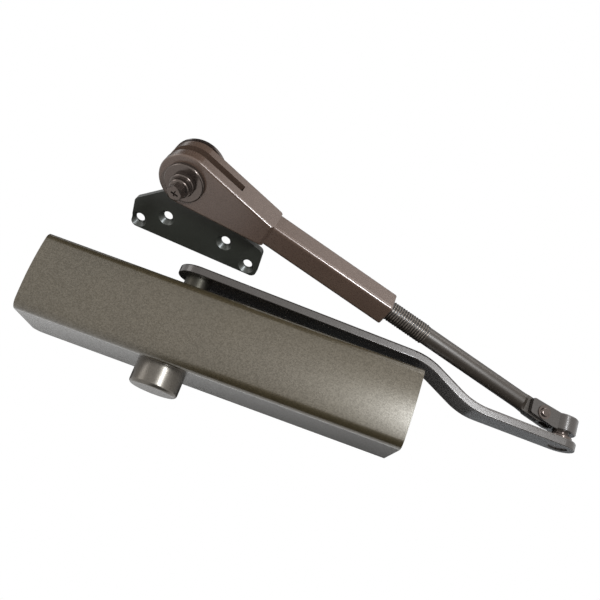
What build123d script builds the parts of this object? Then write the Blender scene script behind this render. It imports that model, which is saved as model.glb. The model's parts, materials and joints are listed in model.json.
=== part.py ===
from build123d import *
import math
import os

# Door closer: rack-and-pinion body under a crowned cover, with a joggled main arm,
# a screwed forearm and a hold-open fork that clamps a flat soffit shoe.
# Frame: X along the cover, Y towards the door with the door face at 0, Z up. Millimetres.

os.makedirs("parts", exist_ok=True)

# Fits and clearances
running_fit = 0.05
seat_fit = 0.02
swing_gap = 0.4

# Cover
cover_length = 305.0
cover_height = 64.0
cover_depth = 70.0
cover_wall = 2.4
cover_edge = 8.0
cover_crown = 1.5
cover_back_corner = 8.0
cover_screw_radius = 2.0
cover_screw_head = 4.0
cover_screw_head_height = 2.2
cover_screw_length = 12.0
cover_screw_from_door = 18.0

# Spindle and its cap under the cover
spindle_from_end = 115.0
spindle_from_door = 35.0
cap_radius = 19.5
cap_height = 18.3
cap_edge = 3.0
cap_wall = 2.0
cap_neck_radius = 15.0

# Cast body
bore_radius = 19.0
barrel_wall = 5.5
web_height = 32.0
flange_thickness = 8.0
flange_end_gap = 0.4
flange_corner = 7.0
boss_radius = 21.0
boss_half_height = 29.0
ear_length = 10.0
ear_width = 16.0
mount_spacing_x = 254.0
mount_spacing_z = 38.1
mount_hole_radius = 3.5
mount_edge = 9.0
plug_room = 27.67

# Pinion, rack and bearings
pitch_radius = 10.0
tooth_count = 12
pressure_angle = 20.0
rack_addendum = 1.3
pinion_addendum = 1.4
tooth_root_gap = 0.5
tooth_backlash = 0.4
gear_half_height = 11.0
journal_radius = 8.0
bearing_radius = 15.0
bearing_web = 0.5
bearing_height = 4.5
seal_height = 2.0
gear_gap = 0.8
collar_radius = 10.5
square_drive = 11.0
square_fit = 0.1
lower_stub_length = 14.0

# Piston, spring and end plugs
piston_turn = 170.0
piston_head = 12.0
check_ball_radius = 3.0
check_port_radius = 1.8
check_ball_offset = 10.0
spring_wire = 4.5
spring_radius = 14.0
spring_turns = 9
piston_clear = 8.6
seat_clear = 7.3
spring_gap = 0.5
seat_thickness = 6.0
seat_gap = 0.4
plug_depth = 12.0
plug_flange = 4.0
plug_flange_radius = 22.0
plug_seal_section = 2.0
plug_seal_inset = 5.0
power_screw_radius = 4.0
power_screw_head = 7.0
power_screw_head_height = 5.0
power_screw_socket = 3.0

# Regulating valves in the block above the barrel
valve_radius = 3.0
valve_head_radius = 4.2
valve_head_height = 2.5
valve_length = 16.0
valve_pitch = 14.0
valve_from_spindle = 62.5
valve_height = 21.5
valve_block_margin = 6.0
valve_slot_width = 1.2
valve_slot_depth = 1.2

# Main arm
arm_rest_angle = 3.5
arm_reach = 319.0
arm_thickness = 7.0
arm_rise = 12.8
arm_hub_radius = 17.5
arm_elbow_radius = 13.5
arm_joggle_start = 193.0
arm_joggle_run = 45.0
arm_joggle_drop = 22.9
arm_bend = 55.0
arm_top_edge = 1.7
arm_lower_edge = 0.8
arm_screw_radius = 4.0
arm_screw_head = 5.2
arm_screw_head_height = 1.7
arm_screw_edge = 0.7
arm_screw_depth = 14.0
arm_washer_radius = 8.2
arm_washer_thickness = 0.9
arm_sink_radius = 8.6
arm_sink_depth = 2.6
square_short = 0.2

# Elbow
elbow_pin_radius = 6.6
elbow_pin_neck = 5.0
elbow_pin_head = 8.0
elbow_pin_head_height = 1.2
elbow_rivet_radius = 7.8
elbow_rivet_depth = 2.4
elbow_rivet_recess = 1.0
elbow_collar_radius = 9.8
elbow_collar_height = 3.2
elbow_collar_edge = 1.0
knuckle_radius = 11.8
knuckle_height = 13.6
knuckle_drop = 1.2
knuckle_cheek = 4.5
knuckle_to_pin = 23.5
knuckle_nose_reach = 11.5
knuckle_nose_half = 6.3
knuckle_nose_rise = 2.2
knuckle_nose_corner = 1.8
knuckle_edge = 0.8
cross_pin_height = 42.5
cross_pin_radius = 3.5
cross_pin_head = 5.6
cross_pin_rim = 0.9
cross_pin_dome_radius = 3.8
cross_pin_dome = 1.6
tongue_thickness = 6.8
tongue_radius = 7.0
tongue_gap = 0.1

# Forearm: a screwed rod in a square tube with a forked head
forearm_yaw = 12.7
forearm_pitch = 10.7
forearm_twist = 30.5
rod_radius = 7.4
rod_neck_start = 14.8
rod_round_start = 19.0
rod_length = 236.0
thread_start = 115.0
thread_root_radius = 7.6
thread_radius = 8.25
tube_start = 151.5
tube_side = 20.1
tube_corner = 2.8
tube_end_edge = 1.2
tube_bore_end = 284.0
fork_start = 262.0
fork_start_half_width = 10.3
fork_bolt_at = 335.9
fork_radius = 22.0
fork_half_thickness = 12.8
fork_slot_half = 3.6
fork_slot_depth = 38.9
fork_step = 2.7
fork_edge = 2.0

# Shoe, lengths from the hold-open bolt along the shoe and away from the bolt
shoe_turn = 13.8
shoe_thickness = 5.0
shoe_lobe = 14.0
shoe_long_edge = 9.2
shoe_short_edge = 6.0
shoe_base_edge = 7.5
shoe_short_shoulder = 40.6
shoe_long_shoulder = 40.0
shoe_waist = 15.4
shoe_waist_half = 8.0
shoe_knee_along = 36.0
shoe_knee_out = 28.0
shoe_corner = 5.0
shoe_outer_spacing = 95.2
shoe_outer_out = 58.9
shoe_inner_spacing = 50.3
shoe_inner_out = 46.2
shoe_hole_middle = 13.8
shoe_hole_radius = 3.9
shoe_sink_radius = 6.8

# Hold-open bolt and its stack
bolt_radius = 3.2
bolt_hex_flats = 11.1
bolt_hex_height = 7.4
bolt_flange_radius = 7.8
bolt_flange_height = 2.0
lock_washer_radius = 8.4
lock_washer_thickness = 2.6
lock_washer_split = 1.6
boss_washer_radius = 9.6
boss_washer_thickness = 4.2
flat_washer_radius = 16.0
flat_washer_thickness = 3.6
washer_edge = 1.2
rear_washer_radius = 22.3
rear_washer_thickness = 3.4
hold_nut_flats = 11.1
hold_nut_height = 6.0
bolt_tail = 2.0

# Places worked out from the sizes above
spindle_x = spindle_from_end - cover_length / 2
spindle_y = -spindle_from_door
cover_top = cover_height / 2
arm_underside = cover_top + arm_rise
arm_top = arm_underside + arm_thickness
elbow_underside = arm_underside - arm_joggle_drop
elbow_top = elbow_underside + arm_thickness
barrel_radius = bore_radius + barrel_wall
flange_end = cover_length / 2 - cover_wall - flange_end_gap
flange_height = mount_spacing_z + 2 * mount_edge
bearing_floor = bore_radius + bearing_web
seal_floor = bearing_floor + bearing_height
gland_floor = seal_floor + seal_height
stroke = pitch_radius * math.radians(piston_turn)
gear_clear = pitch_radius + pinion_addendum + gear_gap
slot_right = spindle_x + gear_clear
slot_left = spindle_x - gear_clear - stroke
piston_left = slot_left - piston_head
piston_right = slot_right + piston_head
barrel_left = piston_left - piston_clear - plug_depth
ear_start = flange_end - ear_length
barrel_right = ear_start - plug_room
barrel_length = barrel_right - barrel_left
barrel_ends = {-1: barrel_left, 1: barrel_right}
plug_faces = {-1: barrel_left + plug_depth, 1: barrel_right - plug_depth}
seat_left = plug_faces[1] - seat_clear - seat_thickness
spring_length = seat_left - piston_right
valve_first_x = spindle_x - valve_from_spindle
shoe_long_end = shoe_outer_spacing / 2 + shoe_hole_middle + shoe_long_edge
shoe_short_end = shoe_outer_spacing / 2 - shoe_hole_middle + shoe_short_edge
shoe_base = shoe_outer_out + shoe_base_edge

arm_angle = math.radians(arm_rest_angle)
arm_along = Vector(math.cos(arm_angle), math.sin(arm_angle), 0)
arm_across = Vector(-math.sin(arm_angle), math.cos(arm_angle), 0)
spindle_foot = Vector(spindle_x, spindle_y, 0)
elbow_foot = spindle_foot + arm_along * arm_reach
arm_plan = Plane(origin=spindle_foot, x_dir=arm_along, z_dir=(0, 0, 1))
arm_side = Plane(origin=spindle_foot, x_dir=arm_along, z_dir=arm_across * -1)

yaw = math.radians(forearm_yaw)
pitch = math.radians(forearm_pitch)
twist = math.radians(forearm_twist)
knuckle_along = Vector(-math.cos(yaw), -math.sin(yaw), 0)
rod_along = knuckle_along * math.cos(pitch) + Vector(0, 0, math.sin(pitch))
rod_up = Vector(0, 0, math.cos(pitch)) - knuckle_along * math.sin(pitch)
rod_side = rod_along.cross(rod_up)
cross_pin_centre = elbow_foot + knuckle_along * knuckle_to_pin + Vector(0, 0, cross_pin_height)
bolt_up = rod_up * math.cos(twist) + rod_side * math.sin(twist)
knuckle_side = Plane(origin=cross_pin_centre, x_dir=knuckle_along, z_dir=rod_side)
rod_profile = Plane(origin=cross_pin_centre, x_dir=rod_along, z_dir=rod_side)
fork_plane = Plane(origin=cross_pin_centre, x_dir=rod_along, z_dir=bolt_up)
bolt_centre = cross_pin_centre + rod_along * fork_bolt_at
shoe_along = rod_along.rotate(Axis((0, 0, 0), bolt_up), -shoe_turn)
shoe_plane = Plane(origin=bolt_centre, x_dir=shoe_along, z_dir=bolt_up)
bolt_plane = Plane(origin=bolt_centre, x_dir=rod_along, z_dir=bolt_up)


def rod_section(distance, cross=rod_side):
    """Plane square to the forearm at a distance from the cross pin."""
    return Plane(origin=cross_pin_centre + rod_along * distance, x_dir=cross, z_dir=rod_along)


def on_bolt(height):
    """Plane square to the hold-open bolt at a height above the fork's middle."""
    return bolt_plane.offset(height)


def across_body(x):
    """Plane square to the piston bore at a place along the cover."""
    return Plane(origin=(x, spindle_y, 0), x_dir=(0, 1, 0), z_dir=(1, 0, 0))


def save(solid, name):
    """Label a finished piece and write its STEP file."""
    solid.label = name
    export_step(solid, f"parts/{name}.step")


def cover_section(inset):
    """Upright section of the cover: flat top and bottom, crowned front, soft front edges."""
    top = cover_height / 2 - inset
    front = -(cover_depth - inset)
    corner = front + cover_crown
    with BuildSketch(Plane.YZ) as section:
        with BuildLine():
            Line((0, -top), (0, top))
            Line((0, top), (corner, top))
            ThreePointArc((corner, top), (front, 0), (corner, -top))
            Line((corner, -top), (0, -top))
        make_face()
        fillet(section.vertices().group_by(Axis.X)[0], cover_edge - inset)
    return section.sketch


# Cover
cover_hole_radius = cap_neck_radius + swing_gap
with BuildPart() as cover:
    extrude(cover_section(0), amount=cover_length / 2, both=True)
    back_left = cover.edges().filter_by(Axis.Z).group_by(Axis.X)[0]
    fillet(back_left, cover_back_corner)
    inside = cover_length / 2 - cover_wall
    extrude(cover_section(cover_wall), amount=inside, both=True, mode=Mode.SUBTRACT)
    with Locations((spindle_x, spindle_y, 0)):
        Cylinder(cover_hole_radius, 2 * cover_height, mode=Mode.SUBTRACT)
    with Locations(Location((0, -cover_screw_from_door, 0), (0, 90, 0))):
        Cylinder(cover_screw_radius + seat_fit, 2 * cover_length, mode=Mode.SUBTRACT)
save(cover.part, "cover")

# Cap over the spindle's lower end
with BuildPart() as spindle_cap:
    with BuildSketch(Plane(origin=(spindle_x, spindle_y, -cover_top), z_dir=(0, 0, -1))):
        Circle(cap_radius)
    extrude(amount=cap_height)
    fillet(spindle_cap.edges().group_by(Axis.Z)[0], cap_edge)
    with BuildSketch(Plane(origin=(spindle_x, spindle_y, -cover_top), z_dir=(0, 0, 1))):
        Circle(cap_neck_radius)
    extrude(amount=cover_wall)
    with BuildSketch(Plane(origin=(spindle_x, spindle_y, -cover_top - cap_height + cap_wall))):
        Circle(cap_neck_radius - cap_wall)
    extrude(amount=cap_height + cover_wall, mode=Mode.SUBTRACT)
save(spindle_cap.part, "spindle_cap")

# Screws that hold the cover to the body's end ears
with BuildPart() as cover_screws:
    for end in (-1, 1):
        outside = end * cover_length / 2
        with BuildSketch(Plane(origin=(outside, -cover_screw_from_door, 0), z_dir=(end, 0, 0))):
            Circle(cover_screw_head)
        extrude(amount=cover_screw_head_height)
        with BuildSketch(Plane(origin=(outside, -cover_screw_from_door, 0), z_dir=(-end, 0, 0))):
            Circle(cover_screw_radius)
        extrude(amount=cover_screw_length)
save(cover_screws.part, "cover_screws")

# Cast body: barrel, web, mounting flange, pinion bosses and valve block
valve_front = spindle_y - barrel_radius - valve_head_height
valve_block_left = valve_first_x - valve_block_margin
valve_block_length = 2 * valve_pitch + 2 * valve_block_margin
with BuildPart() as body:
    with BuildSketch(across_body(barrel_left)):
        Circle(barrel_radius)
    extrude(amount=barrel_length)
    with Locations(((barrel_left + barrel_right) / 2, spindle_y / 2, 0)):
        Box(barrel_length, spindle_from_door, web_height)
    with BuildSketch(Plane.XZ):
        RectangleRounded(2 * flange_end, flange_height, flange_corner)
    extrude(amount=flange_thickness)
    with Locations((spindle_x, spindle_y, 0)):
        Cylinder(boss_radius, 2 * boss_half_height)
    for end in (-1, 1):
        ear_middle = end * (ear_start + ear_length / 2)
        ear_depth = cover_screw_from_door + ear_width / 2
        with Locations((ear_middle, -ear_depth / 2, 0)):
            Box(ear_length, ear_depth, ear_width)
    with BuildSketch(Plane(origin=(valve_block_left, spindle_y, 0), x_dir=(0, -1, 0), z_dir=(1, 0, 0))):
        with Locations((0, -valve_height)):
            Rectangle(
                barrel_radius, valve_block_margin * 2, align=(Align.MIN, Align.CENTER)
            )
    extrude(amount=valve_block_length)
    with BuildSketch(across_body(barrel_left)):
        Circle(bore_radius)
    extrude(amount=barrel_length, mode=Mode.SUBTRACT)
    with Locations((spindle_x, spindle_y, 0)):
        Cylinder(pitch_radius + pinion_addendum + gear_gap, 2 * boss_half_height, mode=Mode.SUBTRACT)
    for side in (-1, 1):
        with BuildSketch(Plane(origin=(spindle_x, spindle_y, side * bearing_floor), z_dir=(0, 0, side))):
            Circle(bearing_radius)
        extrude(amount=boss_half_height - bearing_floor, mode=Mode.SUBTRACT)
    for index in range(3):
        valve_x = valve_first_x + index * valve_pitch
        with BuildSketch(Plane(origin=(valve_x, spindle_y - barrel_radius, valve_height), z_dir=(0, 1, 0))):
            Circle(valve_radius + running_fit)
        extrude(amount=valve_length + swing_gap, mode=Mode.SUBTRACT)
    for end in (-1, 1):
        with BuildSketch(Plane(origin=(end * flange_end, -cover_screw_from_door, 0), z_dir=(-end, 0, 0))):
            Circle(cover_screw_radius + seat_fit)
        extrude(amount=cover_screw_length, mode=Mode.SUBTRACT)
    with BuildSketch(Plane.XZ):
        with GridLocations(mount_spacing_x, mount_spacing_z, 2, 2):
            Circle(mount_hole_radius)
    extrude(amount=flange_thickness, mode=Mode.SUBTRACT)
save(body.part, "body")


def pinion_outline():
    """Involute tooth outline, one tooth pointing at the rack on the door side."""
    base = pitch_radius * math.cos(math.radians(pressure_angle))
    tip = pitch_radius + pinion_addendum
    root = pitch_radius - rack_addendum - tooth_root_gap
    quarter = math.pi / (2 * tooth_count) - tooth_backlash / (2 * pitch_radius)
    rolled = math.tan(math.radians(pressure_angle)) - math.radians(pressure_angle)

    def half_angle(radius):
        contact = math.acos(min(1.0, base / radius))
        return quarter + rolled - (math.tan(contact) - contact)

    radii = [root, base, pitch_radius, tip]
    points = []
    for tooth in range(tooth_count):
        middle = math.pi / 2 + tooth * 2 * math.pi / tooth_count
        flank = [(r, half_angle(max(r, base))) for r in radii]
        turns = [(r, middle - a) for r, a in flank] + [(r, middle + a) for r, a in reversed(flank)]
        points += [(r * math.cos(t), r * math.sin(t)) for r, t in turns]
    return points


# Pinion shaft: teeth, journals, the collar under the arm and a square at each end
stub_end = -(boss_half_height + lower_stub_length)
with BuildPart() as pinion_shaft:
    with BuildSketch(Plane(origin=(spindle_x, spindle_y, -gear_half_height))):
        Polygon(*pinion_outline(), align=None)
    extrude(amount=2 * gear_half_height)
    with BuildSketch(Plane(origin=(spindle_x, spindle_y, -boss_half_height))):
        Circle(journal_radius)
    extrude(amount=2 * boss_half_height)
    with BuildSketch(Plane(origin=(spindle_x, spindle_y, boss_half_height))):
        Circle(collar_radius)
    extrude(amount=arm_underside - boss_half_height)
    with BuildSketch(arm_plan.offset(arm_underside)):
        Rectangle(square_drive, square_drive)
    extrude(amount=arm_thickness - arm_sink_depth - square_short)
    with BuildSketch(arm_plan.offset(stub_end)):
        Rectangle(square_drive, square_drive)
    extrude(amount=lower_stub_length)
    with BuildSketch(arm_plan.offset(arm_top)):
        Circle(arm_screw_radius + seat_fit)
    extrude(amount=-arm_screw_depth, mode=Mode.SUBTRACT)
save(pinion_shaft.part, "pinion_shaft")


def pinion_rings(name, floor, height, inner):
    """A ring at each end of the pinion shaft, seated in the body's boss."""
    with BuildPart() as rings:
        for side in (-1, 1):
            with BuildSketch(Plane(origin=(spindle_x, spindle_y, side * floor), z_dir=(0, 0, side))):
                Circle(bearing_radius - seat_fit)
                Circle(inner, mode=Mode.SUBTRACT)
            extrude(amount=height)
    save(rings.part, name)


pinion_rings("pinion_bearings", bearing_floor, bearing_height, journal_radius + running_fit)
pinion_rings("pinion_seals", seal_floor, seal_height, journal_radius + running_fit)
pinion_rings("gland_nuts", gland_floor, boss_half_height - gland_floor, journal_radius + swing_gap)

# Piston with the rack cut in one side of its slot
rack_pitch = 2 * math.pi * pitch_radius / tooth_count
rack_root = pinion_addendum + tooth_root_gap
slope = math.tan(math.radians(pressure_angle))
half_tooth = rack_pitch / 4 - tooth_backlash / 2
rack_first = math.ceil((slot_left - spindle_x) / rack_pitch)
rack_last = math.floor((slot_right - spindle_x) / rack_pitch)
with BuildPart() as piston:
    with BuildSketch(across_body(piston_left)):
        Circle(bore_radius - running_fit)
    extrude(amount=piston_right - piston_left)
    with BuildSketch(Plane(origin=(slot_left, spindle_y, 0))):
        with Locations((0, pitch_radius + rack_root)):
            Rectangle(
                slot_right - slot_left,
                pitch_radius + rack_root + gear_clear,
                align=(Align.MIN, Align.MAX),
            )
    extrude(amount=bore_radius, both=True, mode=Mode.SUBTRACT)
    with BuildSketch(Plane(origin=(spindle_x, spindle_y + pitch_radius, 0))):
        for index in range(rack_first, rack_last):
            middle = (index + 0.5) * rack_pitch
            tip_half = half_tooth - rack_addendum * slope
            root_half = half_tooth + rack_root * slope
            Polygon(
                (middle - root_half, rack_root),
                (middle + root_half, rack_root),
                (middle + tip_half, -rack_addendum),
                (middle - tip_half, -rack_addendum),
                align=None,
            )
    extrude(amount=gear_half_height, both=True)
    with BuildSketch(Plane(origin=(piston_left, spindle_y, check_ball_offset), z_dir=(1, 0, 0))):
        Circle(check_port_radius)
    extrude(amount=piston_head, mode=Mode.SUBTRACT)
    with BuildSketch(Plane(origin=(piston_left, spindle_y, check_ball_offset), z_dir=(1, 0, 0))):
        Circle(check_ball_radius + running_fit)
    extrude(amount=piston_head / 2, mode=Mode.SUBTRACT)
save(piston.part, "piston")

# Check ball in the piston's left head
with BuildPart() as check_ball:
    with Locations((piston_left + piston_head / 2 - check_ball_radius, spindle_y, check_ball_offset)):
        Sphere(check_ball_radius)
save(check_ball.part, "check_ball")

# Main spring: one wire of even turns between the piston and its seat
spring_start = piston_right + spring_gap + spring_wire / 2
spring_end = spring_start + spring_length - spring_wire - 2 * spring_gap


def spring_point(turn):
    angle = 2 * math.pi * turn
    x = spring_start + (spring_end - spring_start) * turn / spring_turns
    return (x, spindle_y + spring_radius * math.cos(angle), spring_radius * math.sin(angle))


with BuildPart() as main_spring:
    with BuildLine() as wire:
        for quarter in range(4 * spring_turns):
            turn = quarter / 4
            ThreePointArc(spring_point(turn), spring_point(turn + 1 / 8), spring_point(turn + 1 / 4))
    with BuildSketch(Plane(origin=wire.line @ 0, z_dir=wire.line % 0)):
        Circle(spring_wire / 2)
    sweep()
save(main_spring.part, "main_spring")
spring_step = (spring_end - spring_start) / spring_turns
print("least gap between spring turns", round(spring_step - spring_wire, 2))

# Spring seat and the power screw that moves it
with BuildPart() as spring_seat:
    with BuildSketch(across_body(seat_left)):
        Circle(bore_radius - seat_gap)
        Circle(power_screw_radius + running_fit, mode=Mode.SUBTRACT)
    extrude(amount=seat_thickness)
save(spring_seat.part, "spring_seat")

power_head_face = barrel_right + plug_flange
with BuildPart() as power_screw:
    with BuildSketch(across_body(seat_left)):
        Circle(power_screw_radius)
    extrude(amount=power_head_face - seat_left)
    with BuildSketch(across_body(power_head_face)):
        Circle(power_screw_head)
    extrude(amount=power_screw_head_height)
    with BuildSketch(across_body(power_head_face + power_screw_head_height)):
        RegularPolygon(power_screw_socket, 6)
    extrude(amount=-power_screw_socket, mode=Mode.SUBTRACT)
save(power_screw.part, "power_screw")


def end_plug(name, end, hole):
    """Screwed plug that closes one end of the bore, with a groove for its seal."""
    face = plug_faces[end]
    with BuildPart() as plug:
        with BuildSketch(Plane(origin=(face, spindle_y, 0), z_dir=(end, 0, 0))):
            Circle(bore_radius - seat_fit)
        extrude(amount=plug_depth)
        with BuildSketch(Plane(origin=(barrel_ends[end], spindle_y, 0), z_dir=(end, 0, 0))):
            Circle(plug_flange_radius)
        extrude(amount=plug_flange)
        with BuildSketch(Plane(origin=(face + end * plug_seal_inset, spindle_y, 0), z_dir=(end, 0, 0))):
            Circle(bore_radius)
            Circle(bore_radius - plug_seal_section, mode=Mode.SUBTRACT)
        extrude(amount=plug_seal_section, mode=Mode.SUBTRACT)
        if hole:
            with BuildSketch(Plane(origin=(face, spindle_y, 0), z_dir=(end, 0, 0))):
                Circle(hole)
            extrude(amount=plug_depth + plug_flange, mode=Mode.SUBTRACT)
    save(plug.part, name)


end_plug("end_plug_left", -1, 0)
end_plug("end_plug_right", 1, power_screw_radius + running_fit)

with BuildPart() as plug_seals:
    for end in (-1, 1):
        seal_x = plug_faces[end] + end * plug_seal_inset
        with BuildSketch(Plane(origin=(seal_x, spindle_y, 0), z_dir=(end, 0, 0))):
            Circle(bore_radius - seat_fit)
            Circle(bore_radius - plug_seal_section, mode=Mode.SUBTRACT)
        extrude(amount=plug_seal_section)
save(plug_seals.part, "plug_seals")

# Regulating valves, turned by a screwdriver from the front
for index, valve_name in enumerate(("backcheck_valve", "closing_valve", "latching_valve")):
    valve_x = valve_first_x + index * valve_pitch
    block_face = spindle_y - barrel_radius
    with BuildPart() as valve:
        with BuildSketch(Plane(origin=(valve_x, block_face, valve_height), z_dir=(0, 1, 0))):
            Circle(valve_radius)
        extrude(amount=valve_length)
        with BuildSketch(Plane(origin=(valve_x, block_face, valve_height), z_dir=(0, -1, 0))):
            Circle(valve_head_radius)
        extrude(amount=valve_head_height)
        with Locations((valve_x, valve_front, valve_height)):
            Box(2 * valve_head_radius, 2 * valve_slot_depth, valve_slot_width, mode=Mode.SUBTRACT)
    save(valve.part, valve_name)

# Main arm: one flat bar, joggled down past the end of the cover
joggle_end = arm_joggle_start + arm_joggle_run
bend_shift = arm_thickness * math.tan(math.atan2(arm_joggle_drop, arm_joggle_run) / 2)
lower_edge = [
    (-arm_hub_radius, arm_underside),
    (arm_joggle_start, arm_underside),
    (joggle_end, elbow_underside),
    (arm_reach + arm_elbow_radius, elbow_underside),
]
upper_edge = [
    (-arm_hub_radius, arm_top),
    (arm_joggle_start + bend_shift, arm_top),
    (joggle_end + bend_shift, elbow_top),
    (arm_reach + arm_elbow_radius, elbow_top),
]
with BuildPart() as main_arm:
    with BuildSketch(arm_side) as bar_side:
        Polygon(*lower_edge, *reversed(upper_edge), align=None)
        bends = bar_side.vertices().sort_by(Axis.X)[2:6]
        fillet(bends, arm_bend)
    extrude(amount=arm_hub_radius, both=True)
    with BuildSketch(arm_plan):
        Circle(arm_hub_radius)
        with Locations((arm_reach, 0)):
            Circle(arm_elbow_radius)
        make_hull()
    extrude(amount=arm_top, mode=Mode.INTERSECT)
    for facing, radius in ((1, arm_top_edge), (-1, arm_lower_edge)):
        flat_faces = main_arm.faces().filter_by(lambda face: face.normal_at().Z * facing > 0.5)
        bend_lines = flat_faces.edges().filter_by(Axis(spindle_foot, arm_across))
        fillet(flat_faces.edges() - bend_lines, radius)
    with BuildSketch(arm_plan):
        Rectangle(square_drive + 2 * square_fit, square_drive + 2 * square_fit)
        with Locations((arm_reach, 0)):
            Circle(elbow_pin_radius + seat_fit)
    extrude(amount=arm_top, mode=Mode.SUBTRACT)
    with BuildSketch(arm_plan.offset(elbow_underside)):
        with Locations((arm_reach, 0)):
            Circle(elbow_rivet_radius + seat_fit)
    extrude(amount=elbow_rivet_depth, mode=Mode.SUBTRACT)
    with BuildSketch(arm_plan.offset(arm_top)):
        Circle(arm_sink_radius)
    extrude(amount=-arm_sink_depth, mode=Mode.SUBTRACT)
save(main_arm.part, "main_arm")

# Screw and washer that hold the arm on the spindle's square
arm_seat = arm_top - arm_sink_depth
with BuildPart() as arm_washer:
    with BuildSketch(arm_plan.offset(arm_seat)):
        Circle(arm_washer_radius)
        Circle(arm_screw_radius + running_fit, mode=Mode.SUBTRACT)
    extrude(amount=arm_washer_thickness)
save(arm_washer.part, "arm_washer")

arm_washer_top = arm_seat + arm_washer_thickness
with BuildPart() as arm_screw:
    with BuildSketch(arm_plan.offset(arm_top - arm_screw_depth)):
        Circle(arm_screw_radius)
    extrude(amount=arm_washer_top - arm_top + arm_screw_depth)
    with BuildSketch(arm_plan.offset(arm_washer_top)):
        Circle(arm_screw_head)
    extrude(amount=arm_screw_head_height)
    fillet(arm_screw.edges().group_by(Axis.Z)[-1], arm_screw_edge)
save(arm_screw.part, "arm_screw")

# Elbow pin, riveted in the arm, with a shoulder that carries the knuckle
knuckle_floor = cross_pin_height - knuckle_drop - knuckle_height / 2
knuckle_top = knuckle_floor + knuckle_height
elbow_plan = Plane(origin=elbow_foot, x_dir=knuckle_along, z_dir=(0, 0, 1))
rivet_face = elbow_underside + elbow_rivet_recess
with BuildPart() as elbow_pin:
    with BuildSketch(elbow_plan.offset(rivet_face)):
        Circle(elbow_rivet_radius)
    extrude(amount=elbow_rivet_depth - elbow_rivet_recess)
    with BuildSketch(elbow_plan.offset(rivet_face)):
        Circle(elbow_pin_radius)
    extrude(amount=knuckle_floor - rivet_face)
    with BuildSketch(elbow_plan.offset(elbow_top)):
        Circle(elbow_collar_radius)
    collar = extrude(amount=elbow_collar_height)
    fillet(collar.edges().group_by(Axis.Z)[-1], elbow_collar_edge)
    with BuildSketch(elbow_plan.offset(knuckle_floor)):
        Circle(elbow_pin_neck)
    extrude(amount=knuckle_height)
    with BuildSketch(elbow_plan.offset(knuckle_top)):
        Circle(elbow_pin_head)
    extrude(amount=elbow_pin_head_height)
    fillet(elbow_pin.edges().group_by(Axis.Z)[-1], elbow_pin_head_height / 2)
save(elbow_pin.part, "elbow_pin")

# Knuckle: a barrel on the elbow pin with two cheeks round the rod's tongue
tongue_half = tongue_thickness / 2
cheek_inside = tongue_half + tongue_gap
head_room = elbow_pin_head + swing_gap
with BuildPart() as knuckle:
    with BuildSketch(elbow_plan.offset(knuckle_floor)):
        Circle(knuckle_radius)
    extrude(amount=knuckle_height)
    chamfer(knuckle.edges(), knuckle_edge)
    for side in (-1, 1):
        with BuildSketch(knuckle_side.offset(side * (cheek_inside + knuckle_cheek / 2))):
            for corner in (-1, 1):
                corner_rise = knuckle_nose_rise + corner * (knuckle_nose_half - knuckle_nose_corner)
                with Locations((knuckle_nose_reach - knuckle_nose_corner, corner_rise)):
                    Circle(knuckle_nose_corner)
            with Locations((head_room - knuckle_to_pin, -knuckle_drop)):
                Rectangle(knuckle_cheek, knuckle_height, align=(Align.MIN, Align.CENTER))
            make_hull()
        extrude(amount=knuckle_cheek / 2, both=True)
    with BuildSketch(elbow_plan.offset(knuckle_floor)):
        Circle(elbow_pin_neck + running_fit)
    extrude(amount=knuckle_height, mode=Mode.SUBTRACT)
    with BuildSketch(knuckle_side):
        Circle(cross_pin_radius + seat_fit)
    extrude(amount=knuckle_radius, both=True, mode=Mode.SUBTRACT)
save(knuckle.part, "knuckle")

# Cross pin with a domed head on each cheek
cheek_outside = cheek_inside + knuckle_cheek
with BuildPart() as cross_pin:
    with BuildSketch(knuckle_side):
        Circle(cross_pin_radius)
    extrude(amount=cheek_outside, both=True)
    for side in (-1, 1):
        with BuildSketch(Plane(knuckle_side.offset(side * cheek_outside).origin, z_dir=rod_side * side)):
            Circle(cross_pin_head)
        extrude(amount=cross_pin_rim)
        dome_plane = knuckle_side.offset(side * (cheek_outside + cross_pin_rim))
        with BuildSketch(Plane(dome_plane.origin, z_dir=rod_side * side)):
            Circle(cross_pin_dome_radius)
        extrude(amount=cross_pin_dome)
        dome_rim = cross_pin.edges().sort_by(Axis(cross_pin_centre, rod_side * side))[-1]
        fillet(dome_rim, cross_pin_dome * 0.9)
save(cross_pin.part, "cross_pin")

# Rod: flattened tongue, a forged neck and a round screwed length
with BuildPart() as rod:
    with BuildSketch(rod_profile):
        Circle(tongue_radius)
        Rectangle(rod_neck_start, 2 * tongue_radius, align=(Align.MIN, Align.CENTER))
    extrude(amount=tongue_half, both=True)
    with BuildSketch(rod_section(rod_neck_start)):
        Rectangle(tongue_thickness, 2 * tongue_radius)
    with BuildSketch(rod_section(rod_round_start)):
        Circle(rod_radius)
    loft()
    with BuildSketch(rod_section(rod_round_start)):
        Circle(rod_radius)
    extrude(amount=thread_start - rod_round_start)
    with BuildSketch(rod_section(thread_start)):
        Circle(thread_root_radius)
    extrude(amount=rod_length - thread_start)
    with BuildSketch(rod_profile):
        Circle(cross_pin_radius + running_fit)
    extrude(amount=tongue_thickness, both=True, mode=Mode.SUBTRACT)
save(rod.part, "rod")

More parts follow.
